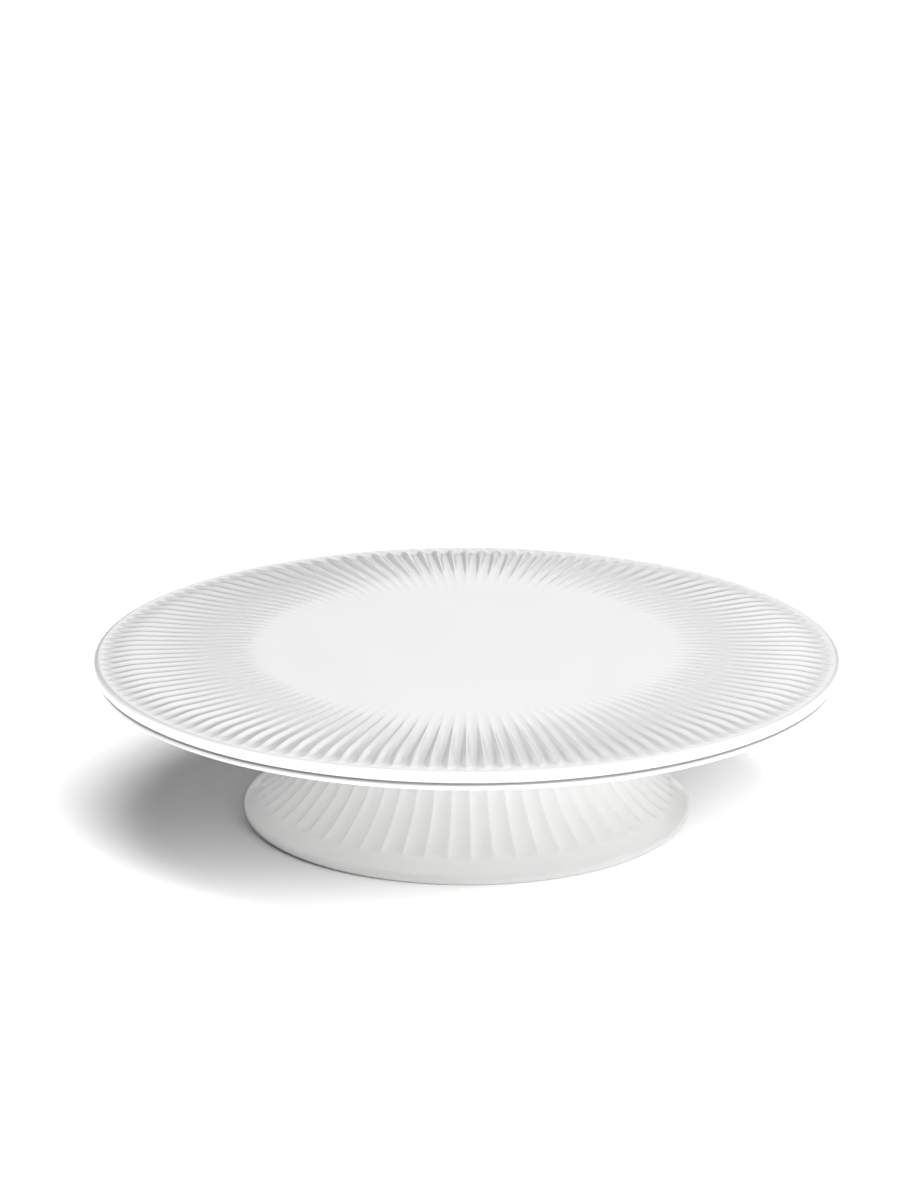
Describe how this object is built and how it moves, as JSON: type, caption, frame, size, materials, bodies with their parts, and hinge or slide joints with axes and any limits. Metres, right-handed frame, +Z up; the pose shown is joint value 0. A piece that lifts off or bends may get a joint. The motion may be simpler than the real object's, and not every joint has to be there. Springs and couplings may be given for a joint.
{
  "type": "footed cake stand",
  "caption": "Low footed cake stand in white glazed porcelain: a wide round plate with fine radial flutes on a flared, fluted, hollow pedestal foot.",
  "frame": {"origin": "centre of the foot's resting ring, on the surface that the stand stands on", "axes": "+Z up along the axis of the plate and the foot; a ridge of the plate's flutes lies on +X and on -Y, the front"},
  "size_m": [0.34, 0.34, 0.0783],
  "materials": {
    "glazed_porcelain": "glossy transparent glaze over white porcelain; the foot's resting ring is left unglazed",
    "fired_slip": "porcelain slip, sponged smooth, fired under the same glaze"
  },
  "bodies": {
    "root": {"plate": "glazed_porcelain", "pedestal_foot": "glazed_porcelain", "luting_ring": "fired_slip", "outer_slip_fillet": "fired_slip", "inner_slip_coil": "fired_slip"}
  },
  "joints": []
}
